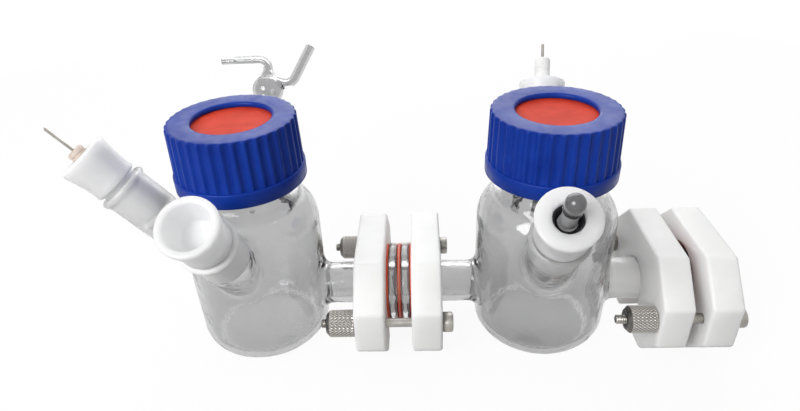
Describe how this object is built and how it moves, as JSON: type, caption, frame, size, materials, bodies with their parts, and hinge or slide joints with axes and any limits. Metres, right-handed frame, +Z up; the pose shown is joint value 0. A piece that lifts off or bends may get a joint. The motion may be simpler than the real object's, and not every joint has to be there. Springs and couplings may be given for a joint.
{
  "type": "photoelectrochemical cell",
  "caption": "Glass H-shaped photoelectrochemical cell: bottles joined by a clamped membrane bridge, with a clamped light window, screw caps, stoppers, electrodes and a gas adapter.",
  "frame": {"origin": "centre of the window bottle's base, on the plane that the cell stands on", "axes": "+X along the bridge towards the light window, +Y away from the front stoppers, +Z up"},
  "size_m": [0.2948, 0.1511, 0.118],
  "materials": {
    "glass": "clear, with ground joints",
    "window": "clear quartz",
    "cap": "satin moulded",
    "septum": "matt silicone",
    "seal": "matt silicone",
    "plate": "machined fluoropolymer",
    "stopper": "translucent moulded",
    "ferrule": "satin",
    "holder": "satin",
    "clip": "satin",
    "gland": "matt",
    "reference": "satin",
    "gilt": "gilt",
    "wire": "drawn",
    "steel": "turned",
    "membrane": "thin film"
  },
  "bodies": {
    "cell": {"left_bottle": "glass", "right_bottle": "glass", "bridge_plate_left": "plate", "bridge_plate_right": "plate", "bridge_washer_left": "seal", "bridge_washer_right": "seal", "bridge_seal_left": "seal", "bridge_seal_right": "seal", "membrane": "membrane", "window_plate_inner": "plate", "window_plate_outer": "plate", "window_washer": "seal", "window_seal_inner": "seal", "window_seal_outer": "seal", "window_disc": "window", "bridge_screws": "steel", "window_screws": "steel"},
    "left_liner": {"left_septum": "septum"},
    "left_cap": {"left_cap": "cap"},
    "right_liner": {"right_septum": "septum"},
    "right_cap": {"right_cap": "cap"},
    "plain_stopper": {"plain_stopper": "stopper"},
    "counter_plug": {"counter_stopper": "stopper", "counter_ferrule": "ferrule"},
    "counter_wire": {"counter_wire": "wire"},
    "gas_adapter": {"gas_adapter": "glass"},
    "reference_plug": {"reference_stopper": "stopper", "reference_gland": "gland", "contact_rod": "gilt"},
    "reference_rod": {"reference_rod": "reference"},
    "holder_plug": {"holder_stopper": "stopper"},
    "holder": {"holder_rod": "holder", "holder_pin": "wire", "sample_clip": "clip"},
    "bridge_nut_front": {"bridge_nut_front": "steel"},
    "bridge_nut_back": {"bridge_nut_back": "steel"},
    "window_nut_front": {"window_nut_front": "steel"},
    "window_nut_back": {"window_nut_back": "steel"}
  },
  "joints": [
    {"name": "left_cap_lift", "type": "slide", "parent": "cell", "child": "left_liner", "axis": [0, 0, 1], "range_m": [0, 0.008]},
    {"name": "left_cap_turn", "type": "hinge", "parent": "left_liner", "child": "left_cap", "pos_m": [-0.13, 0, 0.1], "axis": [0, 0, 1], "range_deg": [0, 720]},
    {"name": "right_cap_lift", "type": "slide", "parent": "cell", "child": "right_liner", "axis": [0, 0, 1], "range_m": [0, 0.008]},
    {"name": "right_cap_turn", "type": "hinge", "parent": "right_liner", "child": "right_cap", "pos_m": [0, 0, 0.1], "axis": [0, 0, 1], "range_deg": [0, 720]},
    {"name": "plain_stopper_out", "type": "slide", "parent": "cell", "child": "plain_stopper", "axis": [0, -0.6157, 0.788], "range_m": [0, 0.03]},
    {"name": "counter_stopper_out", "type": "slide", "parent": "cell", "child": "counter_plug", "axis": [-0.6111, -0.075, 0.788], "range_m": [0, 0.03]},
    {"name": "counter_wire_depth", "type": "slide", "parent": "counter_plug", "child": "counter_wire", "axis": [-0.6111, -0.075, 0.788], "range_m": [-0.006, 0.008]},
    {"name": "gas_adapter_turn", "type": "hinge", "parent": "cell", "child": "gas_adapter", "pos_m": [-0.13, 0.05081, 0.08403], "axis": [0, 0.6157, 0.788], "continuous": true},
    {"name": "reference_stopper_out", "type": "slide", "parent": "cell", "child": "reference_plug", "axis": [-0.075, -0.6111, 0.788], "range_m": [0, 0.03]},
    {"name": "reference_depth", "type": "slide", "parent": "reference_plug", "child": "reference_rod", "axis": [-0.075, -0.6111, 0.788], "range_m": [-0.006, 0.012]},
    {"name": "holder_stopper_out", "type": "slide", "parent": "cell", "child": "holder_plug", "axis": [0.0644, 0.6123, 0.788], "range_m": [0, 0.03]},
    {"name": "holder_lift", "type": "slide", "parent": "holder_plug", "child": "holder", "axis": [0.0644, 0.6123, 0.788], "range_m": [0, 0.018]},
    {"name": "bridge_nut_front_turn", "type": "hinge", "parent": "cell", "child": "bridge_nut_front", "pos_m": [-0.0837, -0.0285, 0.0255], "axis": [1, 0, 0], "continuous": true},
    {"name": "bridge_nut_back_turn", "type": "hinge", "parent": "cell", "child": "bridge_nut_back", "pos_m": [-0.0837, 0.0285, 0.0255], "axis": [1, 0, 0], "continuous": true},
    {"name": "window_nut_front_turn", "type": "hinge", "parent": "cell", "child": "window_nut_front", "pos_m": [0.0436, -0.0285, 0.0255], "axis": [1, 0, 0], "continuous": true},
    {"name": "window_nut_back_turn", "type": "hinge", "parent": "cell", "child": "window_nut_back", "pos_m": [0.0762, 0.0285, 0.0255], "axis": [1, 0, 0], "continuous": true}
  ],
  "couplings": [
    {"joint": "left_cap_lift", "follows": "left_cap_turn", "m_per_rad": 0.00063662},
    {"joint": "right_cap_lift", "follows": "right_cap_turn", "m_per_rad": 0.00063662}
  ]
}
